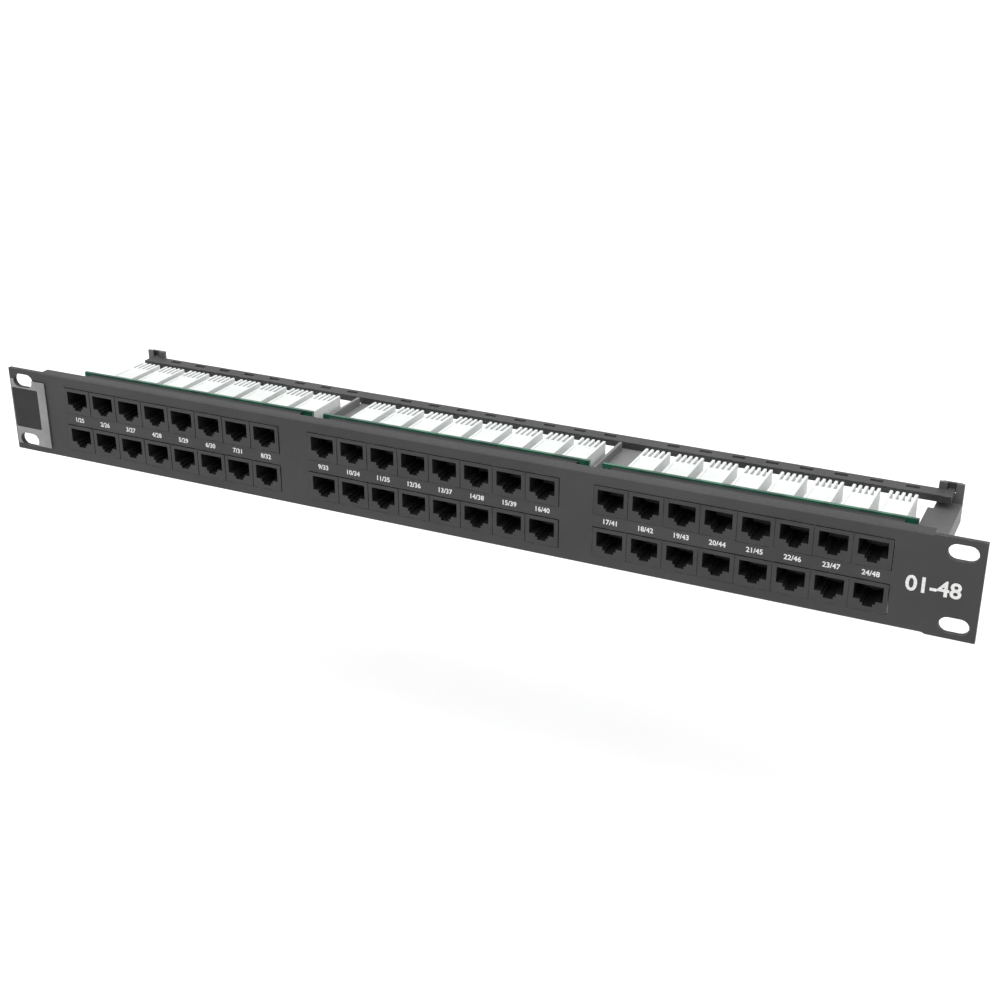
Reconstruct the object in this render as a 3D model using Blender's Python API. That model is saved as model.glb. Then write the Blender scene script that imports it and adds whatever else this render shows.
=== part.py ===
"""A 1U, 19-inch rack patch panel with 48 modular sockets and a lift-off rear cable bar.

Frame: metres, +X to the right seen from the front, +Y to the rear, +Z up. The origin is the
centre of the plane on which the two ears seat against the rack's rails, so the steel front
stands in front of y = 0 and everything else lies behind it.
"""

import math

import bmesh
import bpy
from mathutils import Vector

MM = 0.001

# Fit between separate pieces
CONTACT_GAP = 0.3 * MM
RADIAL_CLEARANCE = 0.3 * MM

# Steel front
PANEL_WIDTH = 482.6 * MM
PANEL_HEIGHT = 43.66 * MM
PANEL_SHEET = 2.0 * MM
FLANGE_REACH = 4.0 * MM
FLANGE_SHEET = 1.5 * MM
FLANGE_OVERHANG = 1.0 * MM

# Rack slots in the ears
SLOT_INSET = 8.75 * MM
SLOT_RISE = 31.75 * MM
SLOT_LENGTH = 12.0 * MM
SLOT_WIDTH = 7.0 * MM
SLOT_END_STEPS = 8

# Socket field
GROUPS = 3
COLUMNS = 8
PORT_PITCH = 15.875 * MM
GROUP_GAP = 15.875 * MM
ROW_SPACING = 19.64 * MM

# One socket opening, and the walls round it
PORT_WIDTH = 11.9 * MM
PORT_HEIGHT = 6.9 * MM
LATCH_STEPS = ((6.2 * MM, 1.4 * MM), (4.1 * MM, 1.3 * MM))
SOCKET_ROOF = 1.7 * MM
SOCKET_FLOOR = 1.9 * MM
SOCKET_PROUD = 0.4 * MM
ROW_END_TRIM = 0.15 * MM

# Contact carriers behind the sockets
CARRIER_DEPTH = 6.0 * MM
CARRIER_PAD_DEPTH = 1.5 * MM

# Circuit boards
BOARD_SETBACK = 20.0 * MM
BOARD_SHEET = 1.6 * MM
BOARD_END_MARGIN = 4.9 * MM
BOARD_EDGE_MARGIN = 0.7 * MM

# Insulation-displacement blocks behind the boards
BLOCK_SPACE = 3.9 * MM
BLOCK_HEIGHT = 24.0 * MM
BLOCK_DEPTH = 35.0 * MM
BLOCK_SLOTS = 4
BLOCK_SLOT_WIDTH = 1.2 * MM
BLOCK_SLOT_DEPTH = 9.0 * MM

# Pillars and screws that hold the boards
PILLAR_RADIUS = 2.2 * MM
SCREW_RADIUS = 1.2 * MM
SCREW_BITE = 6.0 * MM
SCREW_HEAD_RADIUS = 2.2 * MM
SCREW_HEAD_HEIGHT = 1.5 * MM
PILLAR_RISE = 13.0 * MM

# Studs and nuts that hold the arms
STUD_RADIUS = 1.5 * MM
STUD_SPARE = 0.6 * MM
NUT_FLATS = 5.5 * MM
NUT_HEIGHT = 2.4 * MM
ROUND_SIDES = 12

# Side arms
ARM_SHEET = 1.5 * MM
ARM_WIDTH = 8.0 * MM
ARM_TOP = 0.0 * MM
ARM_WEB = 9.0 * MM
ARM_FOOT = 17.0 * MM
ARM_STUD_DROPS = (5.5 * MM, 13.0 * MM)
ARM_BOARD_CLEARANCE = 0.6 * MM
ARM_BLOCK_CLEARANCE = 2.0 * MM
LUG_FLARE = 3.0 * MM
FLARE_SETBACK = 2.4 * MM
LUG_TOP = 9.5 * MM

# Cable bar, which drops into the notches of the side arms
BAR_SETBACK = 73.5 * MM
BAR_DEPTH = 8.0 * MM
BAR_SHEET = 1.5 * MM
BAR_TOP = 6.3 * MM
BAR_LIP = 3.2 * MM
BAR_NECK = 3.3 * MM
BAR_HEAD = 8.4 * MM
BAR_HEAD_DROP = 0.6 * MM
TIE_SLOT_LENGTH = 6.0 * MM
TIE_SLOT_WIDTH = 2.6 * MM

# Centre ribs, between the boards
RIB_SHEET = 1.5 * MM
RIB_FOOT_HEIGHT = 10.0 * MM
RIB_FOOT_CLEARANCE = 3.5 * MM
RIB_STUD_DROP = 5.6 * MM
RIB_BOARD_CLEARANCE = 0.6 * MM
RIB_BLOCK_CLEARANCE = 1.4 * MM
RIB_SHELF_WIDTH = 12.0 * MM
RIB_FLANGE_RISE = 4.2 * MM
RIB_BAR_CLEARANCE = 2.5 * MM

# Label plate on the left ear
LABEL_SHEET = 0.5 * MM
LABEL_WIDTH = 21.5 * MM
LABEL_MARGIN = 1.2 * MM
LABEL_TOP_MARGIN = 5.2 * MM
LABEL_BOTTOM_MARGIN = 3.4 * MM

# Lengths that follow from the values above
ROW_LENGTH = COLUMNS * PORT_PITCH
GROUP_SPACING = ROW_LENGTH + GROUP_GAP
BOARD_HALF = ROW_LENGTH / 2 + BOARD_END_MARGIN
FIELD_HALF = GROUP_SPACING * (GROUPS - 1) / 2 + BOARD_HALF
LATCH_DROP = sum(step_height for _, step_height in LATCH_STEPS)
PORT_TOP = (PORT_HEIGHT + LATCH_DROP) / 2
PORT_FLOOR = PORT_TOP - PORT_HEIGHT
ROW_TOP = PORT_TOP + SOCKET_ROOF
ROW_BOTTOM = -PORT_TOP - SOCKET_FLOOR
ROW_FRONT = -PANEL_SHEET - SOCKET_PROUD
ROW_BACK = BOARD_SETBACK - 2 * CONTACT_GAP - CARRIER_DEPTH
BOARD_TOP = ROW_SPACING / 2 + ROW_TOP + BOARD_EDGE_MARGIN
PILLAR_X = ROW_LENGTH / 2 + ROW_END_TRIM + PILLAR_RADIUS + CONTACT_GAP
BLOCK_FRONT = BOARD_SETBACK + BOARD_SHEET + CONTACT_GAP
BLOCK_WIDTH = PORT_PITCH - BLOCK_SPACE
BLOCKS_HALF = GROUP_SPACING * (GROUPS - 1) / 2 + (ROW_LENGTH - BLOCK_SPACE) / 2
ARM_INNER = FIELD_HALF + ARM_BOARD_CLEARANCE
ARM_OUTER = ARM_INNER + ARM_WIDTH
SHELF_INNER = BLOCKS_HALF + ARM_BLOCK_CLEARANCE
LUG_INNER = ARM_INNER - LUG_FLARE
LUG_CENTRE = (LUG_INNER + ARM_OUTER) / 2
ARM_STUD_X = ARM_INNER + (ARM_WIDTH - ARM_SHEET) / 2
FLANGE_HALF = ARM_OUTER + FLANGE_OVERHANG
SLOT_X = PANEL_WIDTH / 2 - SLOT_INSET
LUG_FRONT = BAR_SETBACK + BAR_DEPTH + CONTACT_GAP
LUG_BACK = LUG_FRONT + ARM_SHEET
NOTCH_FLOOR = BAR_TOP - BAR_SHEET - CONTACT_GAP
RIB_TOP = BAR_TOP - BAR_LIP - CONTACT_GAP
RIB_FOOT_HALF = GROUP_GAP / 2 + ROW_END_TRIM - RIB_FOOT_CLEARANCE
RIB_NECK_HALF = GROUP_SPACING / 2 - BOARD_HALF - RIB_BOARD_CLEARANCE
STUD_LENGTH = CONTACT_GAP + ARM_SHEET + CONTACT_GAP + NUT_HEIGHT + STUD_SPARE

GROUP_NAMES = ("left", "middle", "right")


def clear_scene():
    for old in list(bpy.data.objects):
        bpy.data.objects.remove(old, do_unlink=True)


def make_material(name, colour, roughness, metallic=0.0):
    material = bpy.data.materials.new(name)
    material.use_nodes = True
    shader = material.node_tree.nodes["Principled BSDF"]
    shader.inputs["Base Color"].default_value = (*colour, 1.0)
    shader.inputs["Roughness"].default_value = roughness
    shader.inputs["Metallic"].default_value = metallic
    return material


def add_prism(mesh, outline, axis, low, high):
    """Adds a closed prism. The outline is in the plane across the axis, in X, Y, Z order."""
    across = [i for i in range(3) if i != axis]
    corners = []
    for a, b in outline:
        corner = [0.0, 0.0, 0.0]
        corner[across[0]] = a
        corner[across[1]] = b
        corner[axis] = low
        corners.append(mesh.verts.new(corner))
    base = mesh.faces.new(corners)
    pushed = bmesh.ops.extrude_face_region(mesh, geom=[base])["geom"]
    shift = [0.0, 0.0, 0.0]
    shift[axis] = high - low
    moved = [item for item in pushed if isinstance(item, bmesh.types.BMVert)]
    bmesh.ops.translate(mesh, verts=moved, vec=shift)


def add_box(mesh, x_range, y_range, z_range):
    outline = [(x, z) for x, z in zip(
        (x_range[0], x_range[1], x_range[1], x_range[0]),
        (z_range[0], z_range[0], z_range[1], z_range[1]))]
    add_prism(mesh, outline, 1, *y_range)


def circle(centre, radius, sides=ROUND_SIDES, turn=0.0):
    return [
        (centre[0] + radius * math.cos(turn + 2 * math.pi * i / sides),
         centre[1] + radius * math.sin(turn + 2 * math.pi * i / sides))
        for i in range(sides)
    ]


def obround(centre, length, width, steps=SLOT_END_STEPS):
    radius = width / 2
    offset = length / 2 - radius
    points = []
    for side, start in ((1, -math.pi / 2), (-1, math.pi / 2)):
        for i in range(steps + 1):
            angle = start + math.pi * i / steps
            points.append((centre[0] + side * offset + radius * math.cos(angle),
                           centre[1] + radius * math.sin(angle)))
    return points


def as_object(name, shape, material=None):
    bmesh.ops.recalc_face_normals(shape, faces=shape.faces)
    data = bpy.data.meshes.new(name)
    shape.to_mesh(data)
    shape.free()
    piece = bpy.data.objects.new(name, data)
    bpy.context.collection.objects.link(piece)
    if material:
        data.materials.append(material)
    return piece


def worked_mesh(name, base, steps, material):
    """The base after its cuts and unions, as one mesh. Each step is (operation, shape)."""
    blank = as_object(name, base)
    tools = []
    for operation, shape in steps:
        tool = as_object(name + "_tool", shape)
        change = blank.modifiers.new(operation.lower(), "BOOLEAN")
        change.operation = operation
        change.solver = "EXACT"
        change.object = tool
        tools.append(tool)
    graph = bpy.context.evaluated_depsgraph_get()
    worked = bpy.data.meshes.new_from_object(blank.evaluated_get(graph))
    worked.name = name
    for used in [blank, *tools]:
        bpy.data.objects.remove(used, do_unlink=True)
    worked.materials.clear()
    worked.materials.append(material)
    return worked


def place(name, data, location=(0, 0, 0), parent=None):
    piece = bpy.data.objects.new(name, data)
    bpy.context.collection.objects.link(piece)
    piece.location = Vector(location)
    piece.parent = parent
    return piece


def port_outline():
    """A socket opening round its centre, in X and Z: a wide top and a stepped latch notch below."""
    right = [(PORT_WIDTH / 2, PORT_TOP)]
    level = PORT_FLOOR
    half = PORT_WIDTH / 2
    for step_width, step_height in LATCH_STEPS:
        right.append((half, level))
        right.append((step_width / 2, level))
        half = step_width / 2
        level -= step_height
    right.append((half, level))
    left = [(-x, z) for x, z in reversed(right)]
    return left + right


def column_offsets():
    return [(i - (COLUMNS - 1) / 2) * PORT_PITCH for i in range(COLUMNS)]


def group_centres():
    return [(i - (GROUPS - 1) / 2) * GROUP_SPACING for i in range(GROUPS)]


def row_centres():
    return {"upper": ROW_SPACING / 2, "lower": -ROW_SPACING / 2}


def rib_centres():
    centres = group_centres()
    return [(a + b) / 2 for a, b in zip(centres, centres[1:])]


def pillar_places():
    """Two pillars to a board, on opposite corners."""
    return [(-PILLAR_X, PILLAR_RISE), (PILLAR_X, -PILLAR_RISE)]


def arm_stud_places():
    return [(side * ARM_STUD_X, ARM_TOP - drop) for side in (-1, 1) for drop in ARM_STUD_DROPS]


def rib_stud_places():
    return [(x, RIB_TOP - RIB_STUD_DROP) for x in rib_centres()]


def build_front_panel(material):
    half_width = PANEL_WIDTH / 2
    half_height = PANEL_HEIGHT / 2
    over = PANEL_SHEET
    base = bmesh.new()
    add_box(base, (-half_width, half_width), (-PANEL_SHEET, FLANGE_REACH), (-half_height, half_height))

    inside = bmesh.new()
    inner_height = half_height - FLANGE_SHEET
    add_box(inside, (-half_width - over, half_width + over), (0, FLANGE_REACH + over),
            (-inner_height, inner_height))

    ears = bmesh.new()
    for side in (-1, 1):
        reach = sorted((side * FLANGE_HALF, side * (half_width + over)))
        add_box(ears, reach, (0, FLANGE_REACH + over), (-half_height - over, half_height + over))

    openings = bmesh.new()
    for group_x in group_centres():
        for row_z in row_centres().values():
            reach = ROW_LENGTH / 2 - ROW_END_TRIM + CONTACT_GAP
            add_box(openings, (group_x - reach, group_x + reach), (-PANEL_SHEET - over, over),
                    (row_z + ROW_BOTTOM - CONTACT_GAP, row_z + ROW_TOP + CONTACT_GAP))
    for x in (-SLOT_X, SLOT_X):
        for z in (-SLOT_RISE / 2, SLOT_RISE / 2):
            add_prism(openings, obround((x, z), SLOT_LENGTH, SLOT_WIDTH), 1, -PANEL_SHEET - over, over)

    clinched = bmesh.new()
    root = -PANEL_SHEET / 2
    for group_x in group_centres():
        for x, z in pillar_places():
            add_prism(clinched, circle((group_x + x, z), PILLAR_RADIUS), 1, root,
                      BOARD_SETBACK - CONTACT_GAP)
    for place_xz in arm_stud_places() + rib_stud_places():
        add_prism(clinched, circle(place_xz, STUD_RADIUS), 1, root, STUD_LENGTH)

    bores = bmesh.new()
    for group_x in group_centres():
        for x, z in pillar_places():
            add_prism(bores, circle((group_x + x, z), SCREW_RADIUS + RADIAL_CLEARANCE), 1,
                      BOARD_SETBACK - SCREW_BITE - 2 * CONTACT_GAP, BOARD_SETBACK + over)

    steps = [("DIFFERENCE", inside), ("DIFFERENCE", ears), ("DIFFERENCE", openings),
             ("UNION", clinched), ("DIFFERENCE", bores)]
    place("front_panel", worked_mesh("front_panel", base, steps, material))


def socket_row_mesh(material):
    base = bmesh.new()
    half = ROW_LENGTH / 2 - ROW_END_TRIM
    add_box(base, (-half, half), (ROW_FRONT, ROW_BACK), (ROW_BOTTOM, ROW_TOP))
    tunnels = bmesh.new()
    for x in column_offsets():
        outline = [(x + px, pz) for px, pz in port_outline()]
        add_prism(tunnels, outline, 1, ROW_FRONT - PANEL_SHEET, ROW_BACK + PANEL_SHEET)
    return worked_mesh("socket_row", base, [("DIFFERENCE", tunnels)], material)


def carrier_mesh(material):
    base = bmesh.new()
    half = ROW_LENGTH / 2 - ROW_END_TRIM
    front = ROW_BACK + CONTACT_GAP
    add_box(base, (-half, half), (front, front + CARRIER_DEPTH), (ROW_BOTTOM, ROW_TOP))
    pads = bmesh.new()
    for x in column_offsets():
        reach = PORT_WIDTH / 2 - CONTACT_GAP
        add_box(pads, (x - reach, x + reach), (front - CARRIER_PAD_DEPTH, front + CARRIER_DEPTH / 2),
                (PORT_FLOOR + CONTACT_GAP, PORT_TOP - CONTACT_GAP))
    return worked_mesh("contact_carrier", base, [("UNION", pads)], material)


def board_mesh(material):
    base = bmesh.new()
    back = BOARD_SETBACK + BOARD_SHEET
    add_box(base, (-BOARD_HALF, BOARD_HALF), (BOARD_SETBACK, back), (-BOARD_TOP, BOARD_TOP))
    holes = bmesh.new()
    for place_xz in pillar_places():
        add_prism(holes, circle(place_xz, SCREW_RADIUS + RADIAL_CLEARANCE), 1,
                  BOARD_SETBACK - BOARD_SHEET, back + BOARD_SHEET)
    return worked_mesh("circuit_board", base, [("DIFFERENCE", holes)], material)


def block_mesh(material):
    """A comb seen from above: wire slots run down through its rear edge."""
    half = BLOCK_WIDTH / 2
    slot_pitch = BLOCK_WIDTH / (BLOCK_SLOTS + 0.5)
    outline = [(-half, 0), (half, 0), (half, BLOCK_DEPTH)]
    for i in range(BLOCK_SLOTS):
        x = (((BLOCK_SLOTS - 1) / 2) - i) * slot_pitch
        right = x + BLOCK_SLOT_WIDTH / 2
        left = x - BLOCK_SLOT_WIDTH / 2
        bottom = BLOCK_DEPTH - BLOCK_SLOT_DEPTH
        outline += [(right, BLOCK_DEPTH), (right, bottom), (left, bottom), (left, BLOCK_DEPTH)]
    outline.append((-half, BLOCK_DEPTH))
    base = bmesh.new()
    add_prism(base, outline, 2, -BLOCK_HEIGHT / 2, BLOCK_HEIGHT / 2)
    return worked_mesh("idc_block", base, [], material)


def screw_mesh(material):
    """A pan-head screw along Y, with the seat under its head at the origin."""
    base = bmesh.new()
    add_prism(base, circle((0, 0), SCREW_HEAD_RADIUS), 1, 0, SCREW_HEAD_HEIGHT)
    shank = bmesh.new()
    length = CONTACT_GAP + BOARD_SHEET + SCREW_BITE
    add_prism(shank, circle((0, 0), SCREW_RADIUS), 1, -length, SCREW_HEAD_HEIGHT / 2)
    return worked_mesh("board_screw", base, [("UNION", shank)], material)


def nut_mesh(material):
    """A hexagon nut along Y, with its seat at the origin and two flats facing along X."""
    base = bmesh.new()
    corner_radius = NUT_FLATS / math.sqrt(3)
    add_prism(base, circle((0, 0), corner_radius, 6, math.pi / 6), 1, 0, NUT_HEIGHT)
    bore = bmesh.new()
    add_prism(bore, circle((0, 0), STUD_RADIUS + RADIAL_CLEARANCE), 1, -NUT_HEIGHT, 2 * NUT_HEIGHT)
    return worked_mesh("hex_nut", base, [("DIFFERENCE", bore)], material)


def build_modules(materials):
    rows = socket_row_mesh(materials["socket"])
    carriers = carrier_mesh(materials["carrier"])
    boards = board_mesh(materials["board"])
    blocks = block_mesh(materials["block"])
    screws = screw_mesh(materials["fastener"])
    block_number = 0
    for group_name, group_x in zip(GROUP_NAMES, group_centres()):
        module = place("module_" + group_name, None, (group_x, 0, 0))
        for row_name, row_z in row_centres().items():
            ending = f"{row_name}_{group_name}"
            place("socket_row_" + ending, rows, (0, 0, row_z), module)
            place("contact_carrier_" + ending, carriers, (0, 0, row_z), module)
        place("circuit_board_" + group_name, boards, (0, 0, 0), module)
        for x in column_offsets():
            block_number += 1
            place(f"idc_block_{block_number:02d}", blocks, (x, BLOCK_FRONT, 0), module)
        seat = BOARD_SETBACK + BOARD_SHEET + CONTACT_GAP
        for side, (x, z) in zip(("upper", "lower"), pillar_places()):
            place(f"board_screw_{side}_{group_name}", screws, (x, seat, z), module)


def build_side_arms(material):
    """A folded strip: narrow foot on the panel, wide shelf with a stiffening web, notched lug."""
    front = CONTACT_GAP
    top = ARM_TOP
    under = top - ARM_SHEET
    side_view = [
        (front, top - ARM_FOOT), (front + ARM_SHEET, top - ARM_FOOT), (front + ARM_SHEET, under),
        (LUG_BACK, under), (LUG_BACK, LUG_TOP), (LUG_FRONT, LUG_TOP), (LUG_FRONT, top), (front, top),
    ]
    flare = BLOCK_FRONT + FLARE_SETBACK
    for name, side in (("left", -1), ("right", 1)):
        base = bmesh.new()
        add_prism(base, side_view, 0, *sorted((side * SHELF_INNER, side * ARM_OUTER)))
        web = bmesh.new()
        add_box(web, sorted((side * (ARM_OUTER - ARM_SHEET), side * ARM_OUTER)),
                (front + ARM_SHEET / 2, LUG_BACK), (top - ARM_WEB, top - ARM_SHEET / 2))
        cuts = bmesh.new()
        add_box(cuts, sorted((side * (SHELF_INNER - ARM_SHEET), side * ARM_INNER)),
                (front - ARM_SHEET, flare), (top - ARM_FOOT - ARM_SHEET, top + ARM_SHEET))
        add_box(cuts, sorted((side * (SHELF_INNER - ARM_SHEET), side * LUG_INNER)),
                (BAR_SETBACK, LUG_BACK + ARM_SHEET), (under - ARM_SHEET, LUG_TOP + ARM_SHEET))
        notch_half = BAR_NECK / 2 + CONTACT_GAP
        add_box(cuts, (side * LUG_CENTRE - notch_half, side * LUG_CENTRE + notch_half),
                (LUG_FRONT - ARM_SHEET, LUG_BACK + ARM_SHEET), (NOTCH_FLOOR, LUG_TOP + ARM_SHEET))
        for x, z in arm_stud_places():
            if x * side > 0:
                add_prism(cuts, circle((x, z), STUD_RADIUS + RADIAL_CLEARANCE), 1,
                          front - ARM_SHEET, front + 2 * ARM_SHEET)
        steps = [("UNION", web), ("DIFFERENCE", cuts)]
        place("side_arm_" + name, worked_mesh("side_arm", base, steps, material))


def build_ribs(material):
    """A flat strip between two boards: wide foot, narrow neck, wide shelf with one raised flange."""
    front = CONTACT_GAP
    neck_start = BOARD_SETBACK - FLARE_SETBACK
    neck_end = BLOCK_FRONT + FLARE_SETBACK
    back = BAR_SETBACK + BAR_DEPTH
    left = -(GROUP_GAP + BLOCK_SPACE) / 2 + RIB_BLOCK_CLEARANCE
    right = left + RIB_SHELF_WIDTH
    outline = [
        (-RIB_FOOT_HALF, front), (RIB_FOOT_HALF, front), (RIB_FOOT_HALF, neck_start),
        (RIB_NECK_HALF, neck_start), (RIB_NECK_HALF, neck_end), (right, neck_end), (right, back),
        (left, back), (left, neck_end), (-RIB_NECK_HALF, neck_end), (-RIB_NECK_HALF, neck_start),
        (-RIB_FOOT_HALF, neck_start),
    ]
    for name, x in zip(("left", "right"), rib_centres()):
        base = bmesh.new()
        add_prism(base, [(x + px, py) for px, py in outline], 2, RIB_TOP - RIB_SHEET, RIB_TOP)
        foot = bmesh.new()
        add_box(foot, (x - RIB_FOOT_HALF, x + RIB_FOOT_HALF), (front, front + RIB_SHEET),
                (RIB_TOP - RIB_FOOT_HEIGHT, RIB_TOP - RIB_SHEET / 2))
        flange = bmesh.new()
        add_box(flange, (x + left, x + left + RIB_SHEET), (neck_end, BAR_SETBACK - RIB_BAR_CLEARANCE),
                (RIB_TOP - RIB_SHEET / 2, RIB_TOP + RIB_FLANGE_RISE))
        hole = bmesh.new()
        add_prism(hole, circle((x, RIB_TOP - RIB_STUD_DROP), STUD_RADIUS + RADIAL_CLEARANCE), 1,
                  front - RIB_SHEET, front + 2 * RIB_SHEET)
        steps = [("UNION", foot), ("UNION", flange), ("DIFFERENCE", hole)]
        place("centre_rib_" + name, worked_mesh("centre_rib", base, steps, material))


def build_nuts(material):
    nuts = nut_mesh(material)
    arm_names = ("left_upper", "left_lower", "right_upper", "right_lower")
    seat = CONTACT_GAP + ARM_SHEET + CONTACT_GAP
    for name, (x, z) in zip(arm_names, arm_stud_places()):
        place("arm_nut_" + name, nuts, (x, seat, z))
    seat = CONTACT_GAP + RIB_SHEET + CONTACT_GAP
    for name, (x, z) in zip(("left", "right"), rib_stud_places()):
        place("rib_nut_" + name, nuts, (x, seat, z))


def build_cable_bar(material):
    """An angle with tie slots. A tab at each end hangs in an arm's notch and is folded up behind it."""
    end = LUG_CENTRE + BAR_NECK / 2
    fold = BAR_DEPTH + CONTACT_GAP + ARM_SHEET + CONTACT_GAP
    under = -BAR_SHEET
    section = [
        (0, 0), (0, -BAR_LIP), (BAR_SHEET, -BAR_LIP), (BAR_SHEET, under), (BAR_DEPTH, under), (BAR_DEPTH, 0),
    ]
    base = bmesh.new()
    add_prism(base, section, 0, -end, end)
    cut_z = (under - BAR_SHEET, BAR_SHEET)
    necks = bmesh.new()
    heads = bmesh.new()
    for side in (-1, 1):
        x = side * LUG_CENTRE
        add_box(necks, (x - BAR_NECK / 2, x + BAR_NECK / 2),
                (BAR_DEPTH - BAR_SHEET, fold + BAR_SHEET / 2), (under, 0))
        add_box(heads, (x - BAR_HEAD / 2, x + BAR_HEAD / 2), (fold, fold + BAR_SHEET),
                (under, LUG_TOP - BAR_HEAD_DROP - BAR_TOP))
    ties = bmesh.new()
    middle = (BAR_SHEET + BAR_DEPTH) / 2
    for group_x in group_centres():
        for x in column_offsets():
            centre = group_x + x
            add_box(ties, (centre - TIE_SLOT_LENGTH / 2, centre + TIE_SLOT_LENGTH / 2),
                    (middle - TIE_SLOT_WIDTH / 2, middle + TIE_SLOT_WIDTH / 2), cut_z)
    steps = [("UNION", necks), ("UNION", heads), ("DIFFERENCE", ties)]
    place("cable_bar", worked_mesh("cable_bar", base, steps, material), (0, BAR_SETBACK, BAR_TOP))


def build_label_plate(material):
    """A thin plate on the left ear, notched round both rack slots."""
    back = -PANEL_SHEET - CONTACT_GAP
    left = -PANEL_WIDTH / 2 + LABEL_MARGIN
    base = bmesh.new()
    add_box(base, (left, left + LABEL_WIDTH), (back - LABEL_SHEET, back),
            (LABEL_BOTTOM_MARGIN - PANEL_HEIGHT / 2, PANEL_HEIGHT / 2 - LABEL_TOP_MARGIN))
    slots = bmesh.new()
    for z in (-SLOT_RISE / 2, SLOT_RISE / 2):
        add_prism(slots, obround((-SLOT_X, z), SLOT_LENGTH, SLOT_WIDTH), 1,
                  back - 2 * LABEL_SHEET, back + LABEL_SHEET)
    place("label_plate", worked_mesh("label_plate", base, [("DIFFERENCE", slots)], material))


def main():
    clear_scene()
    materials = {
        "panel": make_material("panel_enamel", (0.045, 0.045, 0.048), 0.55),
        "socket": make_material("socket_plastic", (0.012, 0.012, 0.013), 0.5),
        "carrier": make_material("carrier_plastic", (0.02, 0.02, 0.022), 0.5),
        "board": make_material("board_laminate", (0.02, 0.16, 0.06), 0.4),
        "block": make_material("block_plastic", (0.82, 0.83, 0.8), 0.45),
        "bracket": make_material("bracket_enamel", (0.07, 0.07, 0.075), 0.5),
        "fastener": make_material("fastener_zinc", (0.62, 0.63, 0.65), 0.35, 1.0),
        "label": make_material("label_film", (0.42, 0.42, 0.42), 0.5),
    }
    build_front_panel(materials["panel"])
    build_modules(materials)
    build_side_arms(materials["bracket"])
    build_ribs(materials["bracket"])
    build_nuts(materials["fastener"])
    build_cable_bar(materials["bracket"])
    build_label_plate(materials["label"])


main()
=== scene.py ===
# %% [markdown]
# # A rack patch panel
#
# This lesson dresses the working model of a patch panel: a steel front that bolts into a 19-inch
# rack, 48 modular sockets, the boards and connection blocks behind them, and a rear bar that the
# cables are tied to. The working model, called the frame here, already has every piece at its
# real size and place, so each step takes its measures from the frame and adds what a maker's
# eye would look for: rounded edges, contact wires, print, screws and the surface of each material.

# %% Load the frame
import math

import bmesh
import bpy
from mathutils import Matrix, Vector


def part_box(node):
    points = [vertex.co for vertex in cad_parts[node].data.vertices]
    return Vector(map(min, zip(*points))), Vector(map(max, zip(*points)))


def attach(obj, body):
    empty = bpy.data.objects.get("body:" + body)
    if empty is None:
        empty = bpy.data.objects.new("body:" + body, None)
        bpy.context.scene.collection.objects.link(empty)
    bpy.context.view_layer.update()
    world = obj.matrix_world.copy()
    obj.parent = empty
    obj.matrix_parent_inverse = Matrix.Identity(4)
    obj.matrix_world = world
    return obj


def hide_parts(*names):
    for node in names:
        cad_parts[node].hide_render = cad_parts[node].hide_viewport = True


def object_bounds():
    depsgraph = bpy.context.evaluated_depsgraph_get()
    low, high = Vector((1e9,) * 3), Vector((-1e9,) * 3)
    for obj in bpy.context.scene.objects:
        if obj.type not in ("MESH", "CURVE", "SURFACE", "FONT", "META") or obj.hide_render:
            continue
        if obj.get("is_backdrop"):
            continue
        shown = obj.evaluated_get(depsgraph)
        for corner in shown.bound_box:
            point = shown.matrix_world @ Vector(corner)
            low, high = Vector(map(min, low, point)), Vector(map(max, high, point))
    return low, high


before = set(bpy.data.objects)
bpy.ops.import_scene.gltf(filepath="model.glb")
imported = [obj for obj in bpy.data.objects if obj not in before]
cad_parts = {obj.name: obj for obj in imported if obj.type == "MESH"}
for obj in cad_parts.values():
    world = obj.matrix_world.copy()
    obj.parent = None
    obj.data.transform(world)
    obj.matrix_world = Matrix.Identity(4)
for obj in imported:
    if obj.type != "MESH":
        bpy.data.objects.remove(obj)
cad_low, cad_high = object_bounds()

MM = 0.001
HAIR = 0.01 * MM  # closer than this counts as the same place

# %% [markdown]
# ## The camera
#
# A view is made first, because it decides which details can be seen. The camera stands to the
# right of the panel and above it, with a lens a little longer than normal, and looks down by
# about 24 degrees. A long object seen from one end shows strong perspective, so the place of the
# camera matters more than its lens: both are set as plain values.

# %% Camera
CAMERA_PLACE = (292.3 * MM, -541.8 * MM, 265.9 * MM)
LOOK_DOWN = math.radians(23.91)
LOOK_LEFT = math.radians(25.46)
LENS = 53.47
SENSOR = 36.0

camera_data = bpy.data.cameras.new("camera")
camera_data.lens = LENS
camera_data.sensor_width = SENSOR
camera_data.clip_start = 10 * MM
camera = bpy.data.objects.new("camera", camera_data)
bpy.context.scene.collection.objects.link(camera)
camera.location = CAMERA_PLACE
camera.rotation_euler = (math.radians(90) - LOOK_DOWN, 0.0, LOOK_LEFT)
bpy.context.scene.camera = camera
print("camera at", [round(c, 3) for c in camera.location])

# %% [markdown]
# ## A white studio
#
# Rack hardware is shown on white, with light from all round, so that shadows almost vanish. An
# even world gives that fill. A distant lamp as wide as a patch of overcast sky stands above the
# front and adds just enough direction for gaps and edges to read, and a weaker one overhead
# lifts the tops. Distant lamps light the paper evenly all the way back.

# %% Studio
FLOOR_DROP = 130 * MM
FLOOR_SIZE = 60.0
FILL_LIGHT = 0.72

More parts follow.
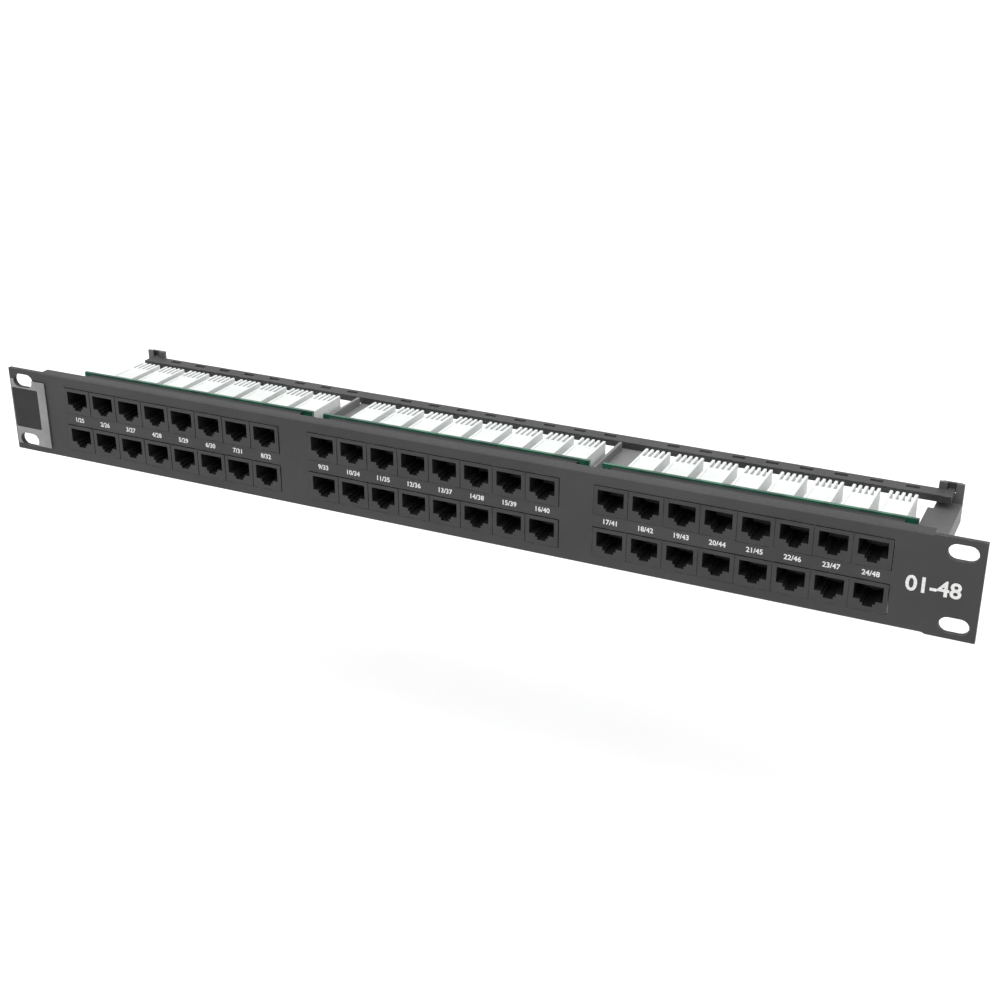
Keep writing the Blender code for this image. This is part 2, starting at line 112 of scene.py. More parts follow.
bpy.ops.mesh.primitive_plane_add(size=FLOOR_SIZE, location=(0.0, 0.0, cad_low.z - FLOOR_DROP))
floor = bpy.context.object
floor.name = "studio_floor"
floor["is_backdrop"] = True

world = bpy.data.worlds.new("studio_world")
bpy.context.scene.world = world
world.use_nodes = True
sky = world.node_tree.nodes["Background"]
sky.inputs["Color"].default_value = (1.0, 1.0, 1.0, 1.0)
sky.inputs["Strength"].default_value = FILL_LIGHT


def add_skylight(name, azimuth, elevation, strength, softness):
    """A distant lamp as wide as an overcast patch of sky, so that its shadows have no edge."""
    lamp = bpy.data.lights.new(name, "SUN")
    lamp.energy = strength
    lamp.angle = math.radians(softness)
    holder = bpy.data.objects.new(name, lamp)
    bpy.context.scene.collection.objects.link(holder)
    holder.rotation_euler = (math.radians(90 - elevation), 0.0, math.radians(azimuth))
    return holder


add_skylight("front_left_skylight", azimuth=-20, elevation=62, strength=2.0, softness=70)
add_skylight("top_skylight", azimuth=60, elevation=80, strength=0.5, softness=90)
bpy.context.scene.view_settings.view_transform = "Standard"
print("studio floor at z =", round(floor.location.z, 3))

# %% [markdown]
# ## Helpers for working by hand
#
# Each piece below is worked as one would at the screen: add a primitive, enter edit mode, pick
# faces, extrude, inset or bevel them, and apply the modifiers. An operator acts on whatever is
# selected, so every helper first clears the selection and then picks exactly one piece.

# %% Selecting and editing
def pick(*pieces):
    if bpy.context.object and bpy.context.object.mode != "OBJECT":
        bpy.ops.object.mode_set(mode="OBJECT")
    bpy.ops.object.select_all(action="DESELECT")
    for piece in pieces:
        piece.select_set(True)
    bpy.context.view_layer.objects.active = pieces[0]


def open_edit(piece, element="FACE"):
    pick(piece)
    bpy.ops.object.mode_set(mode="EDIT")
    bpy.ops.mesh.select_mode(type=element)
    bpy.ops.mesh.select_all(action="DESELECT")


def close_edit():
    bpy.ops.object.mode_set(mode="OBJECT")


def choose(kind, test):
    """Selects the faces or edges of the piece in edit mode that pass the test."""
    mesh = bmesh.from_edit_mesh(bpy.context.object.data)
    mesh.normal_update()
    for item in getattr(mesh, kind):
        item.select_set(bool(test(item)))
    bmesh.update_edit_mesh(bpy.context.object.data)
    return sum(1 for item in getattr(mesh, kind) if item.select)


def settle(piece):
    """Puts the piece's place into its mesh, so that the object itself sits at the origin."""
    pick(piece)
    bpy.ops.object.transform_apply(location=True, rotation=True, scale=True)
    return piece


def apply_modifiers(piece):
    pick(piece)
    for modifier in list(piece.modifiers):
        bpy.ops.object.modifier_apply(modifier=modifier.name)
    return piece


# %% Primitives between two corners
def block(name, low, high):
    low, high = Vector(low), Vector(high)
    bpy.ops.object.select_all(action="DESELECT")
    bpy.ops.mesh.primitive_cube_add(size=1.0, location=(low + high) / 2, scale=high - low)
    piece = bpy.context.object
    piece.name = name
    piece.data.name = name
    return settle(piece)


def rod(name, start, end_y, radius, sides=24, end_radius=None):
    """A round piece along Y, from the start point to end_y."""
    length = end_y - start[1]
    centre = (start[0], start[1] + length / 2, start[2])
    bpy.ops.object.select_all(action="DESELECT")
    bpy.ops.mesh.primitive_cone_add(vertices=sides, radius1=radius, depth=length, location=centre,
                                    radius2=radius if end_radius is None else end_radius,
                                    rotation=(-math.pi / 2, 0.0, 0.0))
    piece = bpy.context.object
    piece.name = name
    piece.data.name = name
    return settle(piece)


# %% Cutting, repeating, rounding
def cut(piece, tool, operation="DIFFERENCE"):
    change = piece.modifiers.new("cut", "BOOLEAN")
    change.operation = operation
    change.solver = "EXACT"
    change.object = tool
    apply_modifiers(piece)
    bpy.data.objects.remove(tool, do_unlink=True)
    return piece


def repeat(piece, count, step):
    change = piece.modifiers.new("repeat", "ARRAY")
    change.count = count
    change.use_relative_offset = False
    change.use_constant_offset = True
    change.constant_offset_displace = step
    return apply_modifiers(piece)


SMOOTH_ANGLE = math.radians(50.0)
MUCH_WIDER = 4.0


def shade_like_metal(piece):
    """A corner takes the normal of a much wider face that meets it at a low angle, so that flats
    stay flat right up to their rounded edges. Elsewhere it takes the mean of the faces there."""
    mesh = piece.data
    around = [[] for _ in mesh.vertices]
    for face in mesh.polygons:
        for vertex in face.vertices:
            around[vertex].append((face.normal.copy(), face.area))
    limit = math.cos(SMOOTH_ANGLE)
    normals = [None] * len(mesh.loops)
    for face in mesh.polygons:
        for loop in face.loop_indices:
            near = [pair for pair in around[mesh.loops[loop].vertex_index]
                    if pair[0].dot(face.normal) > limit]
            near = near or [(face.normal.copy(), face.area)]
            widest = max(near, key=lambda pair: pair[1])
            others = sum(pair[1] for pair in near) - widest[1]
            if widest[1] > MUCH_WIDER * others:
                normals[loop] = widest[0]
            else:
                normals[loop] = sum((normal * area for normal, area in near), Vector()).normalized()
    mesh.normals_split_custom_set(normals)


def round_edges(piece, width, segments=2, angle=40.0):
    change = piece.modifiers.new("round", "BEVEL")
    change.width = width
    change.segments = segments
    change.limit_method = "ANGLE"
    change.angle_limit = math.radians(angle)
    apply_modifiers(piece)
    bpy.ops.object.shade_smooth_by_angle(angle=SMOOTH_ANGLE)
    shade_like_metal(piece)
    return piece


def merge_into(first, others):
    pick(first, *others)
    bpy.ops.object.join()
    return bpy.context.object


def copied(piece, name, step=(0.0, 0.0, 0.0)):
    twin = bpy.data.objects.new(name, piece.data.copy())
    twin.data.name = name
    bpy.context.scene.collection.objects.link(twin)
    twin.location = step
    return settle(twin)


def copy_of_node(node, name):
    """A frame node's shape as a new piece, with its loose triangles merged into clean faces."""
    piece = bpy.data.objects.new(name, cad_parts[node].data.copy())
    piece.data.name = name
    bpy.context.scene.collection.objects.link(piece)
    open_edit(piece, "VERT")
    bpy.ops.mesh.select_all(action="SELECT")
    bpy.ops.mesh.remove_doubles(threshold=HAIR)
    bpy.ops.mesh.dissolve_limited(angle_limit=math.radians(0.5))
    close_edit()
    return piece


def mount(piece, body, slot, material, *nodes):
    """Gives the finished piece its material and body; the slot argument is not used. It stands for the
    named nodes.
    """
    piece.data.materials.clear()
    piece.data.materials.append(material)
    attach(piece, body)
    if nodes:
        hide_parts(*nodes)
    return piece


# %% [markdown]
# ## Shared effects
#
# Real surfaces are never one flat colour. Four small effects are enough for this object, and each
# is built once as a node group with its own inputs: a slow drift of tone, a fine grain that
# bumps the surface, a painted highlight along edges, which on the coated steel also stands for
# wear, and dust on what faces up. A group hands out only colours, masks and normals. The shader
# stays in each material, where its own values are set.

# %% Node helpers
def node(tree, kind, place, **settings):
    made = tree.nodes.new(kind)
    made.location = place
    for name, value in settings.items():
        setattr(made, name, value)
    return made


def wire(tree, source, target):
    tree.links.new(source, target)


def new_group(name, inputs, outputs):
    group = bpy.data.node_groups.new(name, "ShaderNodeTree")
    for socket, kind, value in inputs:
        made = group.interface.new_socket(name=socket, in_out="INPUT", socket_type=kind)
        made.default_value = value
    for socket, kind in outputs:
        group.interface.new_socket(name=socket, in_out="OUTPUT", socket_type=kind)
    entry = node(group, "NodeGroupInput", (-900, 0))
    leave = node(group, "NodeGroupOutput", (900, 0))
    return group, entry, leave


# %% Tone drift
def make_tone_group():
    group, entry, leave = new_group(
        "tone_drift",
        [("Dark", "NodeSocketColor", (0.05, 0.05, 0.05, 1)),
         ("Light", "NodeSocketColor", (0.08, 0.08, 0.08, 1)),
         ("Scale", "NodeSocketFloat", 30.0)],
        [("Color", "NodeSocketColor"), ("Mask", "NodeSocketFloat")])
    place = node(group, "ShaderNodeTexCoord", (-700, -200))
    noise = node(group, "ShaderNodeTexNoise", (-450, 0))
    noise.inputs["Detail"].default_value = 4.0
    noise.inputs["Roughness"].default_value = 0.6
    spread = node(group, "ShaderNodeMapRange", (-200, 0))
    spread.inputs["From Min"].default_value = 0.35
    spread.inputs["From Max"].default_value = 0.65
    mix = node(group, "ShaderNodeMix", (100, 0), data_type="RGBA")
    wire(group, place.outputs["Object"], noise.inputs["Vector"])
    wire(group, entry.outputs["Scale"], noise.inputs["Scale"])
    wire(group, noise.outputs["Fac"], spread.inputs["Value"])
    wire(group, spread.outputs["Result"], mix.inputs["Factor"])
    wire(group, entry.outputs["Dark"], mix.inputs["A"])
    wire(group, entry.outputs["Light"], mix.inputs["B"])
    wire(group, mix.outputs["Result"], leave.inputs["Color"])
    wire(group, spread.outputs["Result"], leave.inputs["Mask"])
    return group


# %% Fine grain
def make_grain_group():
    group, entry, leave = new_group(
        "fine_grain",
        [("Scale", "NodeSocketFloat", 1200.0), ("Depth", "NodeSocketFloat", 0.00002)],
        [("Normal", "NodeSocketVector"), ("Mask", "NodeSocketFloat")])
    place = node(group, "ShaderNodeTexCoord", (-700, -200))
    noise = node(group, "ShaderNodeTexNoise", (-450, 0))
    noise.inputs["Detail"].default_value = 2.0
    bump = node(group, "ShaderNodeBump", (300, 100))
    bump.inputs["Strength"].default_value = 1.0
    wire(group, place.outputs["Object"], noise.inputs["Vector"])
    wire(group, entry.outputs["Scale"], noise.inputs["Scale"])
    wire(group, noise.outputs["Fac"], bump.inputs["Height"])
    wire(group, entry.outputs["Depth"], bump.inputs["Distance"])
    wire(group, bump.outputs["Normal"], leave.inputs["Normal"])
    wire(group, noise.outputs["Fac"], leave.inputs["Mask"])
    return group


# %% Edge highlight and wear
# Painted highlight: a mask of the rounded edges, which the finishes paint lighter. On the coated steel
# it also stands for wear.
def make_edge_group():
    group, entry, leave = new_group(
        "edge_highlight_and_wear",
        [("Radius", "NodeSocketFloat", 0.0006), ("Amount", "NodeSocketFloat", 1.0)],
        [("Mask", "NodeSocketFloat")])
    rounded = node(group, "ShaderNodeBevel", (-600, 200), samples=6)
    flat = node(group, "ShaderNodeNewGeometry", (-600, 0))
    dot = node(group, "ShaderNodeVectorMath", (-350, 100), operation="DOT_PRODUCT")
    turn = node(group, "ShaderNodeMapRange", (-150, 100))
    turn.inputs["From Min"].default_value = 0.995
    turn.inputs["From Max"].default_value = 0.85
    place = node(group, "ShaderNodeTexCoord", (-600, -250))
    edge_breakup = node(group, "ShaderNodeTexNoise", (-350, -250))
    edge_breakup.inputs["Scale"].default_value = 260.0
    edge_breakup.inputs["Detail"].default_value = 5.0
    broken = node(group, "ShaderNodeMapRange", (-150, -250))
    broken.inputs["From Min"].default_value = 0.42
    broken.inputs["From Max"].default_value = 0.62
    both = node(group, "ShaderNodeMath", (100, 0), operation="MULTIPLY")
    scaled = node(group, "ShaderNodeMath", (300, 0), operation="MULTIPLY", use_clamp=True)
    wire(group, entry.outputs["Radius"], rounded.inputs["Radius"])
    wire(group, rounded.outputs["Normal"], dot.inputs[0])
    wire(group, flat.outputs["Normal"], dot.inputs[1])
    wire(group, dot.outputs["Value"], turn.inputs["Value"])
    wire(group, place.outputs["Object"], edge_breakup.inputs["Vector"])
    wire(group, edge_breakup.outputs["Fac"], broken.inputs["Value"])
    wire(group, turn.outputs["Result"], both.inputs[0])
    wire(group, broken.outputs["Result"], both.inputs[1])
    wire(group, both.outputs["Value"], scaled.inputs[0])
    wire(group, entry.outputs["Amount"], scaled.inputs[1])
    wire(group, scaled.outputs["Value"], leave.inputs["Mask"])
    return group


# %% Settled dust
def make_dust_group():
    group, entry, leave = new_group(
        "settled_dust",
        [("Amount", "NodeSocketFloat", 0.2)],
        [("Mask", "NodeSocketFloat")])
    shape = node(group, "ShaderNodeNewGeometry", (-700, 200))
    split = node(group, "ShaderNodeSeparateXYZ", (-500, 200))
    upward = node(group, "ShaderNodeMapRange", (-300, 200))
    upward.inputs["From Min"].default_value = 0.4
    upward.inputs["From Max"].default_value = 1.0
    place = node(group, "ShaderNodeTexCoord", (-700, -100))
    specks = node(group, "ShaderNodeTexNoise", (-500, -100))
    specks.inputs["Scale"].default_value = 900.0
    specks.inputs["Detail"].default_value = 3.0
    both = node(group, "ShaderNodeMath", (0, 100), operation="MULTIPLY")
    scaled = node(group, "ShaderNodeMath", (250, 100), operation="MULTIPLY", use_clamp=True)
    wire(group, shape.outputs["Normal"], split.inputs["Vector"])
    wire(group, split.outputs["Z"], upward.inputs["Value"])
    wire(group, place.outputs["Object"], specks.inputs["Vector"])
    wire(group, upward.outputs["Result"], both.inputs[0])
    wire(group, specks.outputs["Fac"], both.inputs[1])
    wire(group, both.outputs["Value"], scaled.inputs[0])
    wire(group, entry.outputs["Amount"], scaled.inputs[1])
    wire(group, scaled.outputs["Value"], leave.inputs["Mask"])
    return group


effects = {
    "tone": make_tone_group(),
    "grain": make_grain_group(),
    "edge": make_edge_group(),
    "dust": make_dust_group(),
}
print("shared effects:", sorted(effects))

# %% [markdown]
# ## Materials
#
# Most finishes here share one recipe: a base colour that drifts between two tones, edges painted
# lighter as a highlight, which on the steel also stands for wear that shows what is under the
# coat, dust on top, and a grain. The recipe is one function, and each finish is a short call
# with its own values. The board, whose pattern is special, follows it.

# %% The surface recipe
def effect(tree, name, place, **values):
    made = node(tree, "ShaderNodeGroup", place, node_tree=effects[name])
    for socket, value in values.items():
        made.inputs[socket].default_value = value
    return made


def mix_colours(tree, place, factor, first, second):
    """Mixes the colour socket first towards second, which is a colour or a socket."""
    mixed = node(tree, "ShaderNodeMix", place, data_type="RGBA")
    wire(tree, factor, mixed.inputs["Factor"])
    wire(tree, first, mixed.inputs["A"])
    if isinstance(second, tuple):
        mixed.inputs["B"].default_value = (*second, 1.0)
    else:
        wire(tree, second, mixed.inputs["B"])
    return mixed.outputs["Result"]


def make_finish(name, dark, light, drift=30.0, roughness=(0.4, 0.5), metallic=0.0,
                grain=(1200.0, 0.02), lit_and_worn_edge=None, highlight_and_wear=0.0, highlight_and_wear_radius=0.5, dust=0.0, coat=0.0,
                specular=0.5):
    """One finish. grain is (scale, depth in mm); the edge colour is a painted highlight along the
    edges, which on the coated steel also stands for wear.
    """
    material = bpy.data.materials.new(name)
    material.use_nodes = True
    tree = material.node_tree
    shader = tree.nodes["Principled BSDF"]
    shader.location = (700, 0)
    shader.inputs["Metallic"].default_value = metallic
    shader.inputs["Specular IOR Level"].default_value = specular
    shader.inputs["Coat Weight"].default_value = coat
    shader.inputs["Coat Roughness"].default_value = 0.25
    tone = effect(tree, "tone", (-700, 200), Dark=(*dark, 1.0), Light=(*light, 1.0), Scale=drift)
    colour = tone.outputs["Color"]
    # Painted highlight: the rounded edges are mixed towards a lighter colour, which on the coated steel
    # also stands for wear.
    if highlight_and_wear:
        edge = effect(tree, "edge", (-700, -100), Radius=highlight_and_wear_radius * MM, Amount=highlight_and_wear)
        colour = mix_colours(tree, (-200, 200), edge.outputs["Mask"], colour, lit_and_worn_edge)
    if dust:
        settled = effect(tree, "dust", (-700, -300), Amount=dust)
        colour = mix_colours(tree, (100, 200), settled.outputs["Mask"], colour, (0.55, 0.54, 0.52))
    wire(tree, colour, shader.inputs["Base Color"])
    skin = effect(tree, "grain", (-700, -500), Scale=grain[0], Depth=grain[1] * MM)
    rough = node(tree, "ShaderNodeMapRange", (-200, -300))
    rough.inputs["To Min"].default_value = roughness[0]
    rough.inputs["To Max"].default_value = roughness[1]
    wire(tree, skin.outputs["Mask"], rough.inputs["Value"])
    wire(tree, rough.outputs["Result"], shader.inputs["Roughness"])
    wire(tree, skin.outputs["Normal"], shader.inputs["Normal"])
    return material


# %% Finishes
# The lighter edge colours below are painted highlights along the edges; on the coated steel they also
# stand for wear.
finish = {
    "panel": make_finish("charcoal_powder_coat", (0.026, 0.026, 0.027), (0.038, 0.038, 0.039), 14.0,
                         (0.42, 0.62), grain=(1500.0, 0.035), lit_and_worn_edge=(0.12, 0.12, 0.125), highlight_and_wear=0.7,
                         dust=0.08, specular=0.3),
    "bracket": make_finish("bracket_powder_coat", (0.070, 0.070, 0.072), (0.096, 0.096, 0.098), 22.0,
                           (0.38, 0.58), grain=(1500.0, 0.03), lit_and_worn_edge=(0.24, 0.24, 0.245), highlight_and_wear=0.7,
                           dust=0.12),
    "bar": make_finish("bar_powder_coat", (0.026, 0.026, 0.027), (0.040, 0.040, 0.041), 22.0,
                       (0.40, 0.60), grain=(1500.0, 0.03), lit_and_worn_edge=(0.15, 0.15, 0.155), highlight_and_wear=0.8,
                       dust=0.10, specular=0.35),
    "socket": make_finish("black_socket_plastic", (0.009, 0.009, 0.010), (0.015, 0.015, 0.016), 60.0,
                          (0.32, 0.48), grain=(2200.0, 0.012), lit_and_worn_edge=(0.05, 0.05, 0.052), highlight_and_wear=0.6),
    "carrier": make_finish("carrier_plastic", (0.012, 0.012, 0.014), (0.020, 0.020, 0.022), 60.0,
                           (0.45, 0.60), grain=(2200.0, 0.015)),
    "rib": make_finish("rib_powder_coat", (0.15, 0.15, 0.153), (0.20, 0.20, 0.203), 22.0,
                       (0.38, 0.58), grain=(1500.0, 0.03), lit_and_worn_edge=(0.36, 0.36, 0.365), highlight_and_wear=0.7,
                       dust=0.12),
    "block": make_finish("white_block_plastic", (0.68, 0.705, 0.69), (0.76, 0.78, 0.77), 45.0,
                         (0.36, 0.50), grain=(1800.0, 0.01), lit_and_worn_edge=(0.82, 0.83, 0.82), highlight_and_wear=0.4,
                         dust=0.06),
    "zinc": make_finish("zinc_plated_steel", (0.48, 0.49, 0.52), (0.68, 0.69, 0.71), 240.0,
                        (0.22, 0.42), metallic=1.0, grain=(3200.0, 0.008)),
    "gold": make_finish("gold_plated_contact", (0.80, 0.56, 0.22), (0.92, 0.68, 0.32), 500.0,
                        (0.16, 0.30), metallic=1.0, grain=(4000.0, 0.003)),
    "tin": make_finish("tinned_contact", (0.55, 0.55, 0.54), (0.76, 0.76, 0.74), 420.0,
                       (0.20, 0.38), metallic=1.0, grain=(3800.0, 0.006)),
    "ink": make_finish("light_print", (0.52, 0.52, 0.52), (0.66, 0.66, 0.65), 900.0,
                       (0.45, 0.60), grain=(2600.0, 0.006)),
    "label": make_finish("label_film", (0.16, 0.16, 0.16), (0.21, 0.21, 0.208), 90.0,
                         (0.35, 0.46), grain=(1500.0, 0.006), lit_and_worn_edge=(0.30, 0.30, 0.297), highlight_and_wear=0.5),
    "field": make_finish("label_field", (0.007, 0.007, 0.008), (0.012, 0.012, 0.013), 120.0,
                         (0.40, 0.55), grain=(1500.0, 0.006), specular=0.3),
    "floor": make_finish("studio_paper", (0.93, 0.93, 0.93), (0.95, 0.95, 0.95), 4.0,
                         (0.80, 0.90), grain=(300.0, 0.02)),
}
print("finishes:", ", ".join(sorted(finish)))


# %% [markdown]
# ### Circuit board
#
# A board is glass-filled laminate under green solder mask. The copper under the mask shows as
# slightly lighter lines. Brick courses turned on edge look like bundles of parallel tracks, and
# a coarse noise decides where the bundles run, so the pattern never repeats in an obvious way.

# %% Board material
TRACK_HEIGHT = 0.03 * MM
MASK_GRAIN = 0.004 * MM


def make_board_material():
    material = bpy.data.materials.new("green_board")
    material.use_nodes = True
    tree = material.node_tree
    shader = tree.nodes["Principled BSDF"]
    shader.location = (900, 0)
    shader.inputs["Coat Weight"].default_value = 0.4
    shader.inputs["Coat Roughness"].default_value = 0.12
    place = node(tree, "ShaderNodeTexCoord", (-1100, 0))
    turned = node(tree, "ShaderNodeMapping", (-900, 0))
    turned.inputs["Rotation"].default_value = (math.radians(90), 0.0, 0.0)
    bricks = node(tree, "ShaderNodeTexBrick", (-650, 100))
    bricks.offset = 0.0
    bricks.inputs["Scale"].default_value = 1000.0
    bricks.inputs["Mortar Size"].default_value = 0.16
    bricks.inputs["Mortar Smooth"].default_value = 0.1
    bricks.inputs["Brick Width"].default_value = 31.0
    bricks.inputs["Row Height"].default_value = 0.9
    regions = node(tree, "ShaderNodeTexNoise", (-650, -250))
    regions.inputs["Scale"].default_value = 130.0
    bundle = node(tree, "ShaderNodeMapRange", (-400, -250))
    bundle.inputs["From Min"].default_value = 0.48
    bundle.inputs["From Max"].default_value = 0.52
    tracks = node(tree, "ShaderNodeMath", (-150, 0), operation="MULTIPLY")
    tone = effect(tree, "tone", (-400, 350), Dark=(0.010, 0.070, 0.042, 1.0),
                  Light=(0.015, 0.098, 0.058, 1.0), Scale=80.0)
    wire(tree, place.outputs["Object"], turned.inputs["Vector"])
    wire(tree, turned.outputs["Vector"], bricks.inputs["Vector"])
    wire(tree, place.outputs["Object"], regions.inputs["Vector"])
    wire(tree, regions.outputs["Fac"], bundle.inputs["Value"])
    wire(tree, bricks.outputs["Fac"], tracks.inputs[0])
    wire(tree, bundle.outputs["Result"], tracks.inputs[1])
    colour = mix_colours(tree, (200, 200), tracks.outputs["Value"], tone.outputs["Color"],
                         (0.035, 0.17, 0.095))
    wire(tree, colour, shader.inputs["Base Color"])
    raised = node(tree, "ShaderNodeBump", (500, -200))
    raised.inputs["Distance"].default_value = TRACK_HEIGHT
    wire(tree, tracks.outputs["Value"], raised.inputs["Height"])
    wire(tree, raised.outputs["Normal"], shader.inputs["Normal"])
    skin = effect(tree, "grain", (-400, -500), Scale=1400.0, Depth=MASK_GRAIN)
    rough = node(tree, "ShaderNodeMapRange", (200, -400))
    rough.inputs["To Min"].default_value = 0.24
    rough.inputs["To Max"].default_value = 0.36
    wire(tree, skin.outputs["Mask"], rough.inputs["Value"])
    wire(tree, rough.outputs["Result"], shader.inputs["Roughness"])
    return material


finish["board"] = make_board_material()
floor.data.materials.append(finish["floor"])

# %% [markdown]
# ## Where everything is
#
# The socket field repeats: three groups, eight columns, two rows. Its pitch and its centres are
# read off the frame's own pieces, so every copied detail lands exactly on its socket or block.

# %% Measures from the frame
GROUPS = ("left", "middle", "right")
ROWS = ("upper", "lower")
COLUMNS = 8
SOCKET_ROOF = 1.7 * MM


def centre(name):
    low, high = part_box(name)
    return (low + high) / 2


group_x = {name: centre("circuit_board_" + name).x for name in GROUPS}
pitch = centre("idc_block_02").x - centre("idc_block_01").x
first_column = -(COLUMNS - 1) / 2 * pitch
panel_low, panel_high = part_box("front_panel")
sheet_front = panel_low.y
board_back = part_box("circuit_board_middle")[1].y
port_top = {row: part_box(f"socket_row_{row}_middle")[1].z - SOCKET_ROOF for row in ROWS}
print("pitch", round(pitch / MM, 3), "mm, port tops",
      {row: round(z / MM, 2) for row, z in port_top.items()})

# %% [markdown]
# ## Steel front
#
# The front is a folded sheet with a powder coat. A folded edge is never sharp: its outside takes
# a radius close to the sheet's thickness. The frame's shape is copied, the two long folded edges
# are bevelled with a fold's radius between the ends of the flanges, and every other edge, cut
# by a punch, gets only a fine rounding. The fine rounding also catches the light round each
# window and slot, which is what makes sheet metal look thick.

# %% Steel front
FOLD_RADIUS = 1.4 * MM
PUNCHED_EDGE = 0.22 * MM
FLANGE_HALF = 220.9 * MM
FOLD_END = FLANGE_HALF - 0.4 * MM
TOUCH = 0.05 * MM

steel = copy_of_node("front_panel", "steel_front")
open_edit(steel)
for side in (-1, 1):
    bpy.ops.mesh.select_all(action="SELECT")
    bpy.ops.mesh.bisect(plane_co=(side * FOLD_END, 0, 0), plane_no=(1, 0, 0))
close_edit()


def is_fold(edge):
    on_front = all(abs(v.co.y - sheet_front) < TOUCH for v in edge.verts)
    on_rim = all(abs(abs(v.co.z) - panel_high.z) < TOUCH for v in edge.verts)
    inside = all(abs(v.co.x) < FOLD_END + TOUCH for v in edge.verts)
    same_side = edge.verts[0].co.z * edge.verts[1].co.z > 0
    return on_front and on_rim and inside and same_side


open_edit(steel, "EDGE")
folds = choose("edges", is_fold)
bpy.ops.mesh.bevel(offset=FOLD_RADIUS, segments=5, affect="EDGES")
close_edit()
round_edges(steel, PUNCHED_EDGE)
mount(steel, "panel", "panel_steel", finish["panel"], "front_panel")
print("folded edges:", folds, "faces:", len(steel.data.polygons))

# %% [markdown]
# ## Socket rows
#
# Eight sockets are moulded in one strip. The frame has each tunnel with its stepped latch notch.
# What the eye adds is the mould's work: a lead-in round every mouth, and a fine groove between
# one socket and the next, where the strip is scored so that it can be snapped to length.

# %% Socket rows
GROOVE_WIDTH = 0.45 * MM
GROOVE_DEPTH = 0.35 * MM
LEAD_IN = 0.28 * MM


def make_socket_row(row, group):
    name = f"socket_row_{row}_{group}"
    low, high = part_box(name)
    piece = copy_of_node(name, f"moulded_sockets_{row}_{group}")
    x = group_x[group] + first_column + pitch / 2
    tool = block("groove", (x - GROOVE_WIDTH / 2, low.y - MM, low.z - MM),
                 (x + GROOVE_WIDTH / 2, low.y + GROOVE_DEPTH, high.z + MM))
    repeat(tool, COLUMNS - 1, (pitch, 0, 0))
    cut(piece, tool)
    round_edges(piece, LEAD_IN)
    return mount(piece, "panel", "socket_plastic", finish["socket"], name)


for row in ROWS:
    for group in GROUPS:
        made = make_socket_row(row, group)
print("socket rows done,", len(made.data.polygons), "faces each")

# %% [markdown]
# ## Contact wires
#
# Eight sprung wires hang in every socket. Each leaves the carrier at the back, runs forward along
# the roof, turns round a small bend near the mouth and slopes back down to meet the plug. One
# wire is made by extruding a small square end over and over along its path, and is then repeated
# eight times at the contact pitch and eight times at the socket pitch.

# %% Contact wires
WIRE_WIDTH = 0.46 * MM
WIRE_THICK = 0.30 * MM
WIRE_PITCH = 1.02 * MM
WIRE_STUB = 0.1 * MM
WIRES = 8
WIRE_PATH = (
    (12.6, -0.45), (3.6, -0.45), (2.5, -0.60), (2.0, -1.10), (2.35, -1.60), (3.6, -2.05), (10.4, -4.9),
)


def make_wires(row, group):
    x = group_x[group] + first_column - (WIRES - 1) / 2 * WIRE_PITCH
    top = port_top[row]
    path = [Vector((0.0, y * MM, z * MM)) for y, z in WIRE_PATH]
    start = path[0]
    piece = block(f"contact_wires_{row}_{group}",
                  (x - WIRE_WIDTH / 2, start.y, top + start.z - WIRE_THICK / 2),
                  (x + WIRE_WIDTH / 2, start.y + WIRE_STUB, top + start.z + WIRE_THICK / 2))
    open_edit(piece)
    choose("faces", lambda face: face.normal.y < -0.9)
    for here, there in zip(path, path[1:]):
        bpy.ops.mesh.extrude_region_move(TRANSFORM_OT_translate={"value": there - here})
        mesh = bmesh.from_edit_mesh(piece.data)
        tip = [v for v in mesh.verts if v.select]
        middle = sum((v.co for v in tip), Vector()) / len(tip)
        along = (there - here).normalized()
        across = Vector((0.0, -along.z, along.y))
        for vert in tip:
            side = 1 if vert.co.z > middle.z or (vert.co.z == middle.z and vert.co.y > middle.y) else -1
            sideways = WIRE_WIDTH / 2 if vert.co.x > middle.x else -WIRE_WIDTH / 2
            vert.co = middle + Vector((sideways, 0, 0)) + across * (side * WIRE_THICK / 2)
        bmesh.update_edit_mesh(piece.data)
    bpy.ops.mesh.select_all(action="SELECT")
    bpy.ops.mesh.normals_make_consistent(inside=False)
    close_edit()
    repeat(piece, WIRES, (WIRE_PITCH, 0, 0))
    repeat(piece, COLUMNS, (pitch, 0, 0))
    return mount(piece, "panel", "contact_metal", finish["gold"])


for row in ROWS:
    for group in GROUPS:
        made = make_wires(row, group)
print("contact wires per row:", WIRES * COLUMNS, "faces:", len(made.data.polygons))

# %% [markdown]
# ## Wire combs
#
# The free ends of the wires rest in a comb at the back of the socket, which keeps them apart.
# It is a low bar with nine teeth: a block, and one tooth repeated at the contact pitch.

# %% Wire combs
COMB_FRONT = 9.2 * MM
COMB_BACK = 12.1 * MM
COMB_LOW = -6.75 * MM
COMB_BASE_TOP = -5.4 * MM
COMB_TOOTH_TOP = -3.7 * MM
TOOTH_WIDTH = 0.42 * MM
TOOTH_INSET = 0.1 * MM
TOOTH_ROOT = 0.2 * MM
TOOTH_CHAMFER = 0.12 * MM


